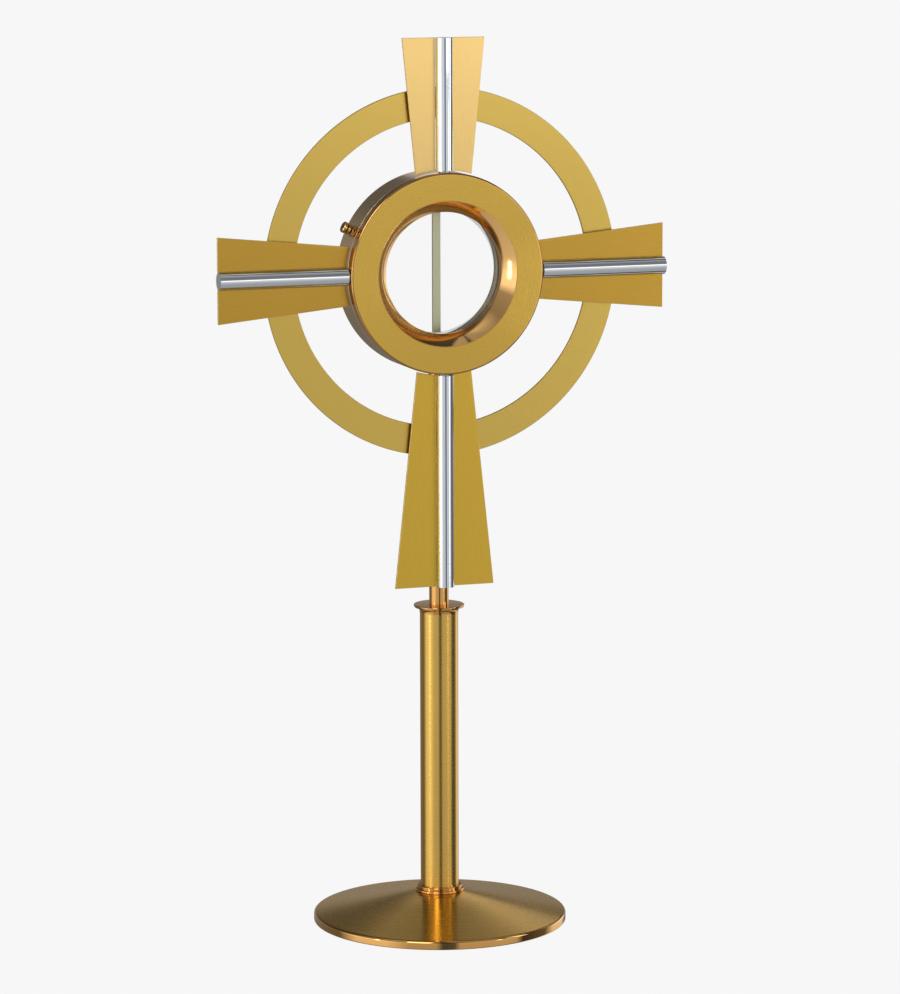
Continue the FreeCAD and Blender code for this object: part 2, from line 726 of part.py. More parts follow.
def hinge_and_catch():
    """Hinge leaf and pin on the luna's flange, and the beaded catch on the other side."""
    foot_block = block("case_leaf_foot", D.leaf_inside, D.leaf_outside, D.flange_front, D.flange_back,
                       D.window_z - D.knuckle_half, D.window_z + D.knuckle_half)
    knuckle = hinge_rod("case_knuckle", D.knuckle_radius, -D.knuckle_half, D.knuckle_half)
    web = block("case_leaf_web", D.hinge_x, D.leaf_outside, D.flange_front, D.hinge_y,
                D.window_z - D.knuckle_half, D.window_z + D.knuckle_half)
    room = block("case_leaf_room", D.hinge_x - D.knuckle_radius, D.leaf_outside + 1,
                 D.flange_back, D.hinge_y + D.knuckle_radius,
                 D.window_z - D.knuckle_gap_half, D.window_z + D.knuckle_gap_half)
    keep(cut(
        "hinge_leaf_case",
        fused("case_leaf_body", foot_block, web, knuckle),
        rod_y("case_leaf_cope", D.flange_radius, D.flange_front - 1, D.flange_back + 1),
        hinge_rod("case_knuckle_gap", D.knuckle_room, -D.knuckle_gap_half, D.knuckle_gap_half),
        hinge_rod("case_knuckle_bore", D.pin_radius, -D.knuckle_half - 1, D.knuckle_half + 1),
        room,
    ))
    pin = hinge_rod("pin_shank", D.pin_radius, -D.knuckle_half, D.knuckle_half)
    low_head = hinge_rod("pin_low_head", D.pin_head_radius, -D.knuckle_half - D.pin_head, -D.knuckle_half)
    high_head = hinge_rod("pin_high_head", D.pin_head_radius, D.knuckle_half, D.knuckle_half + D.pin_head)
    keep(fused("hinge_pin", pin, low_head, high_head))
    heights = (D.window_z - D.catch_half_height, D.window_z + D.catch_half_height)
    strip_foot = block("catch_foot", D.catch_outside, D.catch_foot_inside,
                       D.flange_front, D.flange_back, *heights)
    leaf = block("catch_leaf", D.catch_outside, D.catch_leaf_inside, D.flange_front, D.catch_back, *heights)
    cope = rod_y("catch_cope", D.flange_radius, D.flange_front - 1, D.flange_back + 1)
    bead = doc.addObject("Part::Sphere", "catch_bead")
    tie(bead, Radius=D.bead_radius)
    place(bead, D.bead_x, D.hinge_y, D.window_z)
    keep(fused("door_catch", cut("catch_strip", strip_foot, cope), leaf, bead))


def door():
    """Glazed ring that closes the luna from behind, its pane and knob, and its hinge leaf."""
    body = turned("door_ring", ABOUT_Y, [
        (D.door_bore, D.door_front),
        (D.door_radius, D.door_front),
        (D.door_radius, D.door_back - D.door_edge),
        (D.door_radius - D.door_edge, D.door_back),
        (D.door_bore, D.door_back),
        (D.door_bore, D.pane_back),
        (D.pane_radius, D.pane_back),
        (D.pane_radius, D.pane_front),
        (D.door_bore, D.pane_front),
    ])
    keep(place(body, z=D.window_z))
    keep(disc("door_glass", D.pane_radius, D.pane_front, D.pane_back))
    knob = turned("door_knob", ABOUT_Y, [
        (0, 0),
        (D.knob_foot_radius, 0),
        (D.knob_foot_radius, D.knob_foot),
        (D.knob_stalk_radius, D.knob_stalk_foot),
        (D.knob_stalk_radius, D.knob_stalk_end),
        (D.knob_ball_lower, D.knob_ball_foot),
        (D.knob_radius, D.knob_ball_mid),
        (D.knob_ball_upper, D.knob_ball_top),
        (0, D.knob_end),
    ])
    keep(place(knob, D.knob_x, D.door_back, D.window_z))
    leaf = block("door_leaf", D.leaf_inside, D.hinge_x, D.door_leaf_front, D.door_leaf_back,
                 D.window_z - D.door_knuckle_half, D.window_z + D.door_knuckle_half)
    knuckle = hinge_rod("door_knuckle", D.knuckle_radius, -D.door_knuckle_half, D.door_knuckle_half)
    keep(cut(
        "hinge_leaf_door",
        fused("door_leaf_body", leaf, knuckle),
        rod_y("door_leaf_cope", D.door_radius, D.door_front - 1, D.door_back + 1),
        hinge_rod("door_knuckle_bore", D.door_knuckle_bore, -D.knuckle_gap_half, D.knuckle_gap_half),
    ))


fill_sheet()
foot()
stem()
neck()
drum()
thumb_screw()
arms()
halo()
backbone()
luna()
hinge_and_catch()
door()
doc.recompute()

for item in doc.Objects:
    if "Invalid" in item.State or "Error" in item.State:
        raise ValueError(f"{item.Label} did not build: {item.State}")
for item in nodes:
    if item.Shape.isNull() or not item.Shape.isValid() or not item.Shape.Solids:
        raise ValueError(f"{item.Label} has no valid solid")

os.makedirs("parts", exist_ok=True)
for item in nodes:
    item.Shape.exportStep(f"parts/{item.Label}.step")
print(f"{len(nodes)} sub-parts written")
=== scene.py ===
import math

import bpy
from mathutils import Matrix, Vector


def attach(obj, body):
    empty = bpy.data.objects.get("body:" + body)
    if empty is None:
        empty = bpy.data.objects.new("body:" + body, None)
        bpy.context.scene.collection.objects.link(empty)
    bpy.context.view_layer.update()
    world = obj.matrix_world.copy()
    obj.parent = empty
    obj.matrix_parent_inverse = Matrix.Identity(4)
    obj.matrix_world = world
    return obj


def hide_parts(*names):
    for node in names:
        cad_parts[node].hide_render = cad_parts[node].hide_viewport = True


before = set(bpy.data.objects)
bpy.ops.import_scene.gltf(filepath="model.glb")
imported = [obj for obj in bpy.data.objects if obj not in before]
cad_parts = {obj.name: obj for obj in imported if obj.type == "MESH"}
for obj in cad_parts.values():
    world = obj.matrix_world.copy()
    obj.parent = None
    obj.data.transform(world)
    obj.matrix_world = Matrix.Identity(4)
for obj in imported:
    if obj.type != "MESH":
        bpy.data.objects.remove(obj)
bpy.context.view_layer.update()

MM = 0.001

# shapes: mm and degrees
WINDOW_Z = 451.5
THUMB_Y = -7.5
THUMB_LEAN = 64.5
STEM_RADIUS = 13.15
STEM_BORE = 11.7
STEM_TOP = 216.2
BEZEL_FRONT = -21.75
BEZEL_BACK = -13.45
LATHE_SEGMENTS = 288
LATHE_SHARP_ANGLE = 32

# camera: degrees and mm, and the focal length as a share of the picture's height
CAMERA_AZIMUTH = 18.673
CAMERA_ELEVATION = 9.049
CAMERA_ROLL = -0.134
CAMERA_DISTANCE = 2911.35
CAMERA_TARGET = (5.257, -8.7, 297.41)
FOCAL_SHARE = 4265.95 / 994
SENSOR = 36.0

# colours, linear
# the arm plates' gold in lit and shaded copies: painted darker as shade on the side arms, lighter on the
# lower arm, painted paler as light on the top arm
SIDE_PLATE_SHADED_GOLD = (0.60, 0.355, 0.056)
LOWER_PLATE_HALF_LIT_GOLD = (0.74, 0.475, 0.066)
TOP_PLATE_LIT_GOLD = (0.93, 0.64, 0.235)
RING_GOLD = (0.72, 0.50, 0.115)
FACE_GOLD = (0.70, 0.45, 0.085)
BARREL_GOLD = (0.78, 0.56, 0.29)
BASE_GOLD = (0.78, 0.46, 0.085)
STEM_GOLD = (0.78, 0.49, 0.12)
POLISHED_GOLD = (0.80, 0.44, 0.14)
PALE_GOLD = (0.92, 0.66, 0.27)
BEVEL_GOLD = (0.84, 0.50, 0.19)
# the polished gold darkened throughout, as painted shade on the bezel's band
BAND_SHADED_GOLD = (0.62, 0.34, 0.11)
CHROME = (0.80, 0.83, 0.87)
STEEL = (0.52, 0.52, 0.53)
IRON = (0.07, 0.07, 0.075)
STAY = (0.62, 0.61, 0.42)
GLASS = (0.66, 0.75, 0.72)
ACRYLIC = (0.50, 0.64, 0.60)
FELT = (0.03, 0.07, 0.04)

# brushing: noise cells per metre along, across and down into the metal, and cells round a turned piece
ALONG_GRAIN = 60
ACROSS_GRAIN = 5200
INTO_GRAIN = 400
ROUND_GRAIN = 1.6
ACROSS_TURNING = 0.25
BUMP_DISTANCE = 0.00004
LOWEST_ROUGHNESS = 0.03

# room light: brightness round the room, where 0.5 is the front, 0.25 the left and 0.75 the right
AROUND = [
    (0.0, 0.24), (0.16, 0.16), (0.22, 1.0), (0.31, 1.0), (0.37, 0.55), (0.44, 0.56),
    (0.455, (0.08, 0.10, 0.14)), (0.487, (0.11, 0.13, 0.17)), (0.50, 0.58), (0.585, 0.60),
    (0.62, 0.64), (0.655, 0.60), (0.675, (0.05, 0.06, 0.09)), (0.76, 0.14), (0.80, 0.95),
    (0.86, 0.90), (0.89, 0.20), (1.0, 0.24)]
# and brightness by height, where 0 is straight down, 0.5 level and 1 straight up
UPWARD = [(0.0, 0.42), (0.32, 0.58), (0.44, 0.88), (0.475, 1.0), (0.58, 1.0), (0.66, 0.30),
          (0.85, 0.22), (1.0, 0.6)]
ROOM_STRENGTH = 1.34
SEEN_BACKDROP = 0.93
SEEN_FLOOR = 0.922
FLOOR_LIGHT = 0.40
FLOOR_GREY = 0.02
FLOOR_RADIUS = 0.62
FLOOR_SIDES = 128

# softboxes: place, target, width and height in metres, and power in watts
SOFTBOXES = [
    ("key_softbox", (-1.3, -1.6, 1.7), (0, 0, 0.35), 0.9, 1.2, 14),
    ("side_softbox", (1.6, -0.9, 0.9), (0, 0, 0.35), 0.4, 1.4, 3),
    ("back_softbox", (0.7, 1.7, 0.95), (0, 0, 0.05), 0.7, 0.5, 0.7),
    ("left_strip", (-1.42, -0.37, 0.25), (0, 0, 0.45), 0.10, 0.5, 0.9),
    ("front_strip", (0.88, -1.21, 0.22), (0, 0, 0.45), 0.12, 0.5, 0.4),
    ("top_softbox", (0.30, -0.75, 0.60), (0, 0, 0.60), 0.5, 0.12, 0.16)]


# --- materials ----------------------------------------------------------------------------------


class Shader:
    """Builds one node material."""

    def __init__(self, name):
        self.material = bpy.data.materials.new(name)
        self.material.use_nodes = True
        self.tree = self.material.node_tree
        self.surface = self.tree.nodes["Principled BSDF"]

    def node(self, kind, **settings):
        made = self.tree.nodes.new("ShaderNode" + kind)
        for key, value in settings.items():
            setattr(made, key, value)
        return made

    def link(self, source, target):
        self.tree.links.new(source, target)

    def feed(self, socket, value):
        """Link a socket, or set a constant on it."""
        if isinstance(value, bpy.types.NodeSocket):
            self.link(value, socket)
        else:
            socket.default_value = value

    def math(self, operation, first, second=0.0):
        made = self.node("Math", operation=operation)
        self.feed(made.inputs[0], first)
        self.feed(made.inputs[1], second)
        return made.outputs[0]

    def place(self):
        return self.node("TexCoord").outputs["Object"]

    def grain_place(self, grain):
        """Coordinates that are long along the brushing and short across it."""
        place = self.place()
        if grain in ("x", "z"):
            scale = (ALONG_GRAIN, INTO_GRAIN, ACROSS_GRAIN)
            mapping = self.node("Mapping")
            mapping.inputs["Scale"].default_value = scale if grain == "x" else scale[::-1]
            self.link(place, mapping.inputs["Vector"])
            return mapping.outputs[0]
        split = self.node("SeparateXYZ")
        self.link(place, split.inputs[0])
        x, y, z = split.outputs
        if grain == "round_z":
            across, up, along = x, y, z
        else:
            across, up, along = x, self.math("SUBTRACT", z, WINDOW_Z * MM), y
        radius = self.math("SQRT", self.math("ADD", self.math("MULTIPLY", across, across),
                                             self.math("MULTIPLY", up, up)))
        angle = self.math("ARCTAN2", up, across)
        join = self.node("CombineXYZ")
        self.link(self.math("MULTIPLY", radius, ACROSS_GRAIN), join.inputs[0])
        self.link(self.math("MULTIPLY", along, ACROSS_GRAIN), join.inputs[1])
        self.link(self.math("MULTIPLY", self.math("COSINE", angle), ROUND_GRAIN), join.inputs[2])
        return join.outputs[0]

    def noise(self, vector, scale, detail, rough=0.55):
        made = self.node("TexNoise")
        self.link(vector, made.inputs["Vector"])
        made.inputs["Scale"].default_value = scale
        made.inputs["Detail"].default_value = detail
        made.inputs["Roughness"].default_value = rough
        return made.outputs["Fac"]

    def ranged(self, value, source, target):
        """A value mapped from the source range to the target range."""
        made = self.node("MapRange")
        self.link(value, made.inputs["Value"])
        made.inputs["From Min"].default_value, made.inputs["From Max"].default_value = source
        made.inputs["To Min"].default_value, made.inputs["To Max"].default_value = target
        return made.outputs["Result"]

    def spread(self, noise, low, high):
        """Noise, which stays mostly between 0.3 and 0.7, mapped to a range."""
        return self.ranged(noise, (0.3, 0.7), (low, high))

    def tinted(self, color, amount):
        """The colour, lighter and darker where the value changes."""
        scale = self.node("VectorMath", operation="SCALE")
        scale.inputs[0].default_value = color
        self.link(amount, scale.inputs["Scale"])
        return scale.outputs[0]

    def bump(self, height, strength, distance):
        made = self.node("Bump")
        made.inputs["Strength"].default_value = strength
        made.inputs["Distance"].default_value = distance
        self.link(height, made.inputs["Height"])
        return made.outputs[0]

    def pits(self):
        """Fine pits and scratches."""
        return self.noise(self.place(), 900.0, 3.0, 0.7)


def metal(name, color, roughness, grain, grain_depth, spread, turned=None, anisotropy=0.0):
    """Metal with smudges, and with brushing, or fine pits and scratches where grain is None."""
    shader = Shader(name)
    surface = shader.surface
    surface.inputs["Metallic"].default_value = 1.0
    smudge = shader.noise(shader.place(), 22.0, 6.0)
    brushed = shader.noise(shader.grain_place(grain), 1.0, 5.0, 0.65) if grain else shader.pits()
    shade = shader.math("MULTIPLY", shader.spread(smudge, 0.985, 1.015),
                        shader.spread(brushed, 1 - spread, 1 + spread))
    shader.link(shader.tinted(color, shade), surface.inputs["Base Color"])
    worn = shader.math("ADD", shader.spread(smudge, -0.012, 0.016), shader.spread(brushed, -0.04, 0.05))
    rough = shader.math("MAXIMUM", shader.math("ADD", worn, roughness), LOWEST_ROUGHNESS)
    shader.link(rough, surface.inputs["Roughness"])
    shader.link(shader.bump(brushed, grain_depth, BUMP_DISTANCE), surface.inputs["Normal"])
    if turned:
        tangent = shader.node("Tangent", direction_type="RADIAL", axis=turned)
        surface.inputs["Anisotropic"].default_value = anisotropy
        surface.inputs["Anisotropic Rotation"].default_value = ACROSS_TURNING
        shader.link(tangent.outputs[0], surface.inputs["Tangent"])
    return shader.material


def thumb_metal():
    """Bright gold, with painted shade making it near black down in the grooves of the thumb screw."""
    groove, crest = 3.0, 3.5
    shader = Shader("thumb_gold")
    surface = shader.surface
    surface.inputs["Metallic"].default_value = 1.0
    offset = shader.node("VectorMath", operation="SUBTRACT")
    shader.link(shader.place(), offset.inputs[0])
    offset.inputs[1].default_value = (0, THUMB_Y * MM, WINDOW_Z * MM)
    sideways = shader.node("VectorMath", operation="CROSS_PRODUCT")
    shader.link(offset.outputs[0], sideways.inputs[0])
    lean = math.radians(THUMB_LEAN)
    sideways.inputs[1].default_value = (-math.sin(lean), 0, math.cos(lean))
    radius = shader.node("VectorMath", operation="LENGTH")
    shader.link(sideways.outputs[0], radius.inputs[0])
    # painted shade: the gold darkens to 0.05 where the radius from the screw's axis falls into the grooves
    groove_painted_shade = shader.ranged(radius.outputs["Value"], (groove * MM, crest * MM), (0.05, 1.0))
    worn = shader.pits()
    shade = shader.math("MULTIPLY", groove_painted_shade, shader.spread(worn, 0.95, 1.05))
    shader.link(shader.tinted(POLISHED_GOLD, shade), surface.inputs["Base Color"])
    shader.link(shader.spread(worn, 0.08, 0.14), surface.inputs["Roughness"])
    shader.link(shader.bump(worn, 0.05, BUMP_DISTANCE), surface.inputs["Normal"])
    return shader.material


def clear(name, edge_color, film):
    """Thin clear glass or acrylic: more solid at a slant, with faint dust; film is its least opacity."""
    shader = Shader(name)
    surface = shader.surface
    dust = shader.noise(shader.place(), 60.0, 6.0)
    surface.inputs["Base Color"].default_value = (*edge_color, 1)
    shader.link(shader.spread(dust, 0.02, 0.08), surface.inputs["Roughness"])
    shader.link(shader.bump(dust, 0.05, 0.00005), surface.inputs["Normal"])
    slant = shader.node("LayerWeight")
    slant.inputs["Blend"].default_value = 0.12
    glance = shader.math("POWER", slant.outputs["Facing"], 2.0)
    body = shader.math("MULTIPLY", glance, shader.spread(dust, 0.8, 1.0))
    shader.link(shader.math("ADD", body, film), surface.inputs["Alpha"])
    return shader.material


def felt(name, color):
    """Dense felt: matt, with fibres."""
    shader = Shader(name)
    fibres = shader.noise(shader.place(), 1400.0, 8.0, 0.8)
    shader.link(shader.tinted(color, shader.spread(fibres, 0.7, 1.3)), shader.surface.inputs["Base Color"])
    shader.surface.inputs["Roughness"].default_value = 0.95
    shader.link(shader.bump(fibres, 0.8, 0.0004), shader.surface.inputs["Normal"])
    return shader.material


# the arm plates: one gold in lit and shaded copies, with painted shade on the side arms and painted light on
# the top arm
shaded_plate_x = metal("plate_gold_x_shaded", SIDE_PLATE_SHADED_GOLD, 0.30, "x", 0.16, 0.07)
half_lit_plate_z = metal("plate_gold_z_half_lit", LOWER_PLATE_HALF_LIT_GOLD, 0.30, "z", 0.16, 0.07)
lit_plate_top = metal("plate_gold_top_lit", TOP_PLATE_LIT_GOLD, 0.30, "z", 0.16, 0.07)
ring_gold = metal("ring_gold", RING_GOLD, 0.30, "round_y", 0.14, 0.05)
ring_edge = metal("ring_edge", RING_GOLD, 0.42, None, 0.03, 0.02)
face_gold = metal("face_gold", FACE_GOLD, 0.26, "round_y", 0.08, 0.04, "Y", 0.80)
barrel_gold = metal("barrel_gold", BARREL_GOLD, 0.26, "round_y", 0.14, 0.06, "Y", 0.5)
base_gold = metal("base_gold", BASE_GOLD, 0.24, "round_z", 0.07, 0.05, "Z", 0.75)
stem_gold = metal("stem_gold", STEM_GOLD, 0.25, "round_z", 0.06, 0.04, "Z", 0.75)
bright_gold = metal("bright_gold", POLISHED_GOLD, 0.06, None, 0.03, 0.02)
edge_gold = metal("edge_gold", PALE_GOLD, 0.14, None, 0.05, 0.04)
bevel_gold = metal("bevel_gold", BEVEL_GOLD, 0.09, "round_y", 0.05, 0.03)
# the bezel band: polished gold darkened as painted shade
shaded_band_gold = metal("shaded_band_gold", BAND_SHADED_GOLD, 0.07, "round_y", 0.04, 0.02)
thumb_gold = thumb_metal()
chrome = metal("bright_chrome", CHROME, 0.06, None, 0.02, 0.02)
steel = metal("plain_steel", STEEL, 0.36, "round_y", 0.15, 0.06)
iron = metal("cast_iron", IRON, 0.7, None, 0.9, 0.1)
stay_metal = metal("stay_metal", STAY, 0.42, "z", 0.2, 0.05)
window_glass = clear("window_glass", GLASS, 0.004)
chamber_acrylic = clear("chamber_acrylic", ACRYLIC, 0.22)
green_felt = felt("green_felt", FELT)


# --- shapes -------------------------------------------------------------------------------------


def lathe(name, profile, axis, materials, closed=True, second=()):
    """A turned piece; profile is (radius, place) in mm, about Z or about the window's Y axis.

    Rows of the profile listed in second get the second material.
    """
    count = len(profile)
    rows = count if closed else count - 1
    points = []
    for step in range(LATHE_SEGMENTS):
        angle = 2 * math.pi * step / LATHE_SEGMENTS
        for radius, along in profile:
            across = radius * math.cos(angle) * MM
            other = radius * math.sin(angle) * MM
            if axis == "Z":
                points.append((across, other, along * MM))
            else:
                points.append((across, along * MM, WINDOW_Z * MM - other))
    faces = []
    marks = []
    for step in range(LATHE_SEGMENTS):
        here = step * count
        there = (step + 1) % LATHE_SEGMENTS * count
        for row in range(rows):
            after = (row + 1) % count
            faces.append((here + row, there + row, there + after, here + after))
            marks.append(row)
    mesh = bpy.data.meshes.new(name)
    mesh.from_pydata(points, [], faces)
    mesh.validate()
    for material in materials:
        mesh.materials.append(material)
    for polygon, row in zip(mesh.polygons, marks):
        polygon.use_smooth = True
        polygon.material_index = 1 if row in second else 0
    mesh.set_sharp_from_angle(angle=math.radians(LATHE_SHARP_ANGLE))
    piece = put_in_scene(name, mesh)
    even_normals(piece, keep_sharp=True)
    return piece


def put_in_scene(name, data):
    item = bpy.data.objects.new(name, data)
    bpy.context.scene.collection.objects.link(item)
    return item


def even_normals(piece, keep_sharp):
    """Shade large faces flat and the small ones between them round."""
    normals = piece.modifiers.new("normals", "WEIGHTED_NORMAL")
    normals.keep_sharp = keep_sharp
    normals.weight = 60


def stand_for(piece, body, slot, *nodes):
    """Attach the piece to the body it rides on, and hide the nodes that it stands for; slot, its finish, is
    not used.
    """
    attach(piece, body)
    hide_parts(*nodes)


def arc(centre_r, centre_z, radius, start, end, steps):
    """Points of an arc in a profile, from start to end in degrees."""
    points = []
    for step in range(steps + 1):
        angle = math.radians(start + (end - start) * step / steps)
        points.append((centre_r + radius * math.cos(angle), centre_z + radius * math.sin(angle)))
    return points


def base():
    """Spun cone with an upright, rounded rim."""
    bore, top, inside_top = 4.4, 20.6, 19.05
    slope = [(17.4, top), (40, 15.75), (62, 11.2), (85.6, 6.5)]
    inside = [(85.0, 5.2), (16.6, inside_top), (bore, inside_top)]
    cone = lathe("base_cone", [(bore, top), *slope, *inside], "Z", [base_gold])
    stand_for(cone, "frame", "gold_satin", "base_shell")
    rim_radius, rim_bore = 87.3, 85.7
    shoulder = [(85.6, 6.52), *arc(85.5, 4.7, 1.8, 80, 0, 8)]
    foot = [(rim_radius, 1.3), *arc(86.5, 1.3, 0.8, 0, -90, 5)]
    rim = lathe("base_rim", [*shoulder, *foot, (rim_bore, 0.5), (rim_bore, 4.8)], "Z", [bright_gold])
    stand_for(rim, "frame", "gold_polished", "base_shell")


def column():
    """Stepped collar, satin tube and flanged cap."""
    lower_step = [*arc(15.9, 21.5, 0.9, -90, 0, 5), *arc(16.0, 21.9, 0.8, 0, 80, 5)]
    upper_step = [(15.35, 22.75), (15.35, 23.1), *arc(14.9, 24.3, 0.8, -10, 90, 6)]
    collar = lathe("foot_collar", [(STEM_RADIUS, 20.6), *lower_step, *upper_step, (STEM_RADIUS, 25.1)],
                   "Z", [bright_gold])
    stand_for(collar, "frame", "gold_polished", "stem_collar")
    foot = 25.0
    tube = lathe("stem_column", [(STEM_RADIUS, foot), (STEM_RADIUS, STEM_TOP), (STEM_BORE, STEM_TOP),
                                 (STEM_BORE, foot)], "Z", [stem_gold])
    stand_for(tube, "frame", "gold_satin", "stem_tube")
    underside = [(STEM_BORE, STEM_TOP), (13.3, STEM_TOP)]
    cove = arc(16.4, 217.1, 3.1, 180, 92, 8)
    lip = [(16.9, 220.3), *arc(16.8, 221.6, 0.6, -30, 90, 6)]
    neck_hole = (6.75, 222.4)
    cap = lathe("stem_crown", [*underside, *cove, *lip, neck_hole], "Z", [bright_gold], closed=False)
    stand_for(cap, "frame", "gold_polished", "stem_cap")


def drum():
    """Front bezel as a satin face, a bright band and a bright bevel, and the barrel behind it; the band's
    polished gold is darkened as painted shade.
    """
    face_inner, face_outer, face_back = 49.5, 67.0, BEZEL_FRONT + 0.6
    face = lathe("drum_face", [(face_inner, BEZEL_FRONT), (face_outer, BEZEL_FRONT), (face_outer, face_back),
                               (face_inner, face_back)], "Y", [face_gold])
    stand_for(face, "frame", "gold_satin", "front_bezel")

    bevel_outer, bevel_back = 50.2, -19.9
    rounded = 1.3
    outside = [(face_outer, BEZEL_FRONT), *arc(face_outer, BEZEL_FRONT + rounded, rounded, -90, 0, 8),
               *arc(67.9, -13.85, 0.4, 0, 90, 4)]
    inside = [(66.5, BEZEL_BACK), (66.5, bevel_back), (bevel_outer, bevel_back), (bevel_outer, face_back),
              (face_outer, face_back)]
    band = lathe("drum_band", [*outside, *inside], "Y", [shaded_band_gold])
    stand_for(band, "frame", "gold_polished", "front_bezel")

    lip = arc(49.2, BEZEL_FRONT + 0.3, 0.3, 20, -110, 5)
    window_edge = [(41.3, -11.75), (42.64, -11.75)]
    bevel = lathe("window_bevel", [(bevel_outer, bevel_back), *lip, *bevel_curve(), *window_edge],
                  "Y", [bevel_gold])
    stand_for(bevel, "frame", "gold_polished", "front_bezel")

    barrel_bore, barrel_front, barrel_back = 66.4, -13.15, 13.0
    wall = lathe("drum_wall", [(barrel_bore, barrel_front), *arc(68.0, -12.85, 0.3, -90, 0, 4),
                               *arc(67.5, 12.2, 0.8, 0, 90, 6), (barrel_bore, barrel_back)],
                 "Y", [barrel_gold])
    stand_for(wall, "frame", "gold_satin", "drum_barrel")


def bevel_curve():
    """Profile of the bevel: a cone, slightly hollowed towards the drum's axis."""
    steps, radius, front = 12, 48.9, BEZEL_FRONT + 0.2
    inward, back, bulge_depth, slant = 7.6, 8.6, 0.22, 0.7
    points = []
    for step in range(steps + 1):
        share = step / steps
        bulge = bulge_depth * math.sin(math.pi * share)
        points.append((radius - inward * share - slant * bulge, front + back * share - slant * bulge))
    return points


def halo():
    """Flat ring with rounded corners and plainer edges."""
    outer, inner, front, back, corner, steps = 125.2, 104.6, -8.7, -6.7, 0.35, 4
    profile = [*arc(outer - corner, front + corner, corner, -90, 0, steps),
               *arc(outer - corner, back - corner, corner, 0, 90, steps),
               *arc(inner + corner, back - corner, corner, 90, 180, steps),
               *arc(inner + corner, front + corner, corner, 180, 270, steps)]
    edge_rows = 2 * steps + 1
    edges = {*range(edge_rows), *range(edge_rows + 1, 2 * edge_rows + 1)}
    band = lathe("halo_band", profile, "Y", [ring_gold, ring_edge], second=edges)
    stand_for(band, "frame", "gold_satin", "halo_ring")


def knurled_ring():
    """Ring with a rope-like twist on its inside, as a real surface."""
    twists, steps_per_twist, rows, lean = 150, 8, 10, 5
    around = twists * steps_per_twist
    bore, outer = 41.9, 46.5
    front, back = -10.15, -4.55
    depth, swelling, ridge_height = 0.75, 0.35, 0.4
    points = []
    for step in range(around):
        angle = 2 * math.pi * step / around
        for row in range(rows + 1):
            share = row / rows
            ridge = 0.5 + 0.5 * math.cos(twists * angle + lean * share)
            swell = math.sin(math.pi * share)
            radius = bore + depth - swell * (swelling + ridge_height * ridge)
            points.append((radius * math.cos(angle) * MM, (front + (back - front) * share) * MM,
                           (WINDOW_Z + radius * math.sin(angle)) * MM))
        for along in (back, front):
            points.append((outer * math.cos(angle) * MM, along * MM,
                           (WINDOW_Z + outer * math.sin(angle)) * MM))
    count = rows + 3
    faces = []
    for step in range(around):
        here = step * count
        there = (step + 1) % around * count
        for row in range(count):
            after = (row + 1) % count
            faces.append((here + row, here + after, there + after, there + row))
    mesh = bpy.data.meshes.new("rope_ring")
    mesh.from_pydata(points, [], faces)
    mesh.materials.append(bright_gold)
    for polygon in mesh.polygons:
        polygon.use_smooth = True
    mesh.set_sharp_from_angle(angle=math.radians(50))
    stand_for(put_in_scene("rope_ring", mesh), "luna", "gold_polished", "luna_knurled_ring")


def soften(piece, width, segments, material):
    """Round a piece's sharp edges by a width in mm."""
    piece.modifiers.new("weld", "WELD").merge_threshold = 1e-6
    bevel = piece.modifiers.new("edges", "BEVEL")
    bevel.width = width * MM
    bevel.segments = segments
    bevel.limit_method = "ANGLE"
    bevel.angle_limit = math.radians(24)
    bevel.material = material
    bevel.use_clamp_overlap = True
    even_normals(piece, keep_sharp=False)


def dress(node, materials, edge=0.0, segments=2, edge_material=-1):
    """Give a CAD node its materials, and soft edges if edge isn't 0."""
    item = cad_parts[node]
    item.data.materials.clear()
    for material in materials:
        item.data.materials.append(material)
    if edge:
        soften(item, edge, segments, edge_material)


def dress_nodes():
    # each arm gets its lit or shaded copy of the plate gold, as painted light and shade
    for arm, halves, flat in (("top", ("left", "right"), lit_plate_top), ("bottom", ("left", "right"), half_lit_plate_z),
                              ("left", ("upper", "lower"), shaded_plate_x), ("right", ("upper", "lower"), shaded_plate_x)):
        for half in halves:
            dress(f"arm_{arm}_{half}_plate", [flat, edge_gold], 0.22, edge_material=1)
        dress(f"arm_{arm}_tube", [chrome])
    dress("arm_end_plugs", [chrome], 0.3)
    for node in ("neck_rod", "luna_sleeve", "thumb_screw_bush", "luna_snap_ring", "hinge_leaf_case",
                 "hinge_leaf_door", "door_catch"):
        dress(node, [bright_gold])
    dress("thumb_screw", [thumb_gold], 0.15)
    dress("thumb_screw_collar", [bright_gold], 0.25, 3)
    dress("door_knob", [bright_gold], 0.3, 3)
    dress("back_plate", [face_gold])
    dress("luna_case", [barrel_gold], 0.2)
    dress("door_ring", [face_gold], 0.2)
    dress("host_stay", [stay_metal], 0.2)
    dress("luna_front_glass", [window_glass])
    dress("door_glass", [window_glass])
    dress("luna_chamber_ring", [chamber_acrylic])
    dress("base_weight", [iron])
    dress("base_felt", [green_felt])
    for node in ("tie_rod", "tie_rod_nut", "tie_rod_washer", "stem_foot_plug", "neck_stud", "neck_nut",
                 "halo_spacers", "halo_screws", "backbone_screws", "lower_bracket", "arm_root_plugs",
                 "arm_studs", "arm_stud_nuts", "hinge_pin"):
        dress(node, [steel])


# --- studio -------------------------------------------------------------------------------------


def for_camera(tree, seen, lighting):
    """The grey seen for what the camera sees directly, and the other for light and reflections."""
    choose = tree.nodes.new("ShaderNodeMix")
    choose.data_type = "RGBA"
    tree.links.new(tree.nodes.new("ShaderNodeLightPath").outputs["Is Camera Ray"], choose.inputs[0])
    if isinstance(lighting, bpy.types.NodeSocket):
        tree.links.new(lighting, choose.inputs[6])
    else:
        choose.inputs[6].default_value = (lighting, lighting, lighting, 1)
    choose.inputs[7].default_value = (seen, seen, seen, 1)
    return choose.outputs[2]


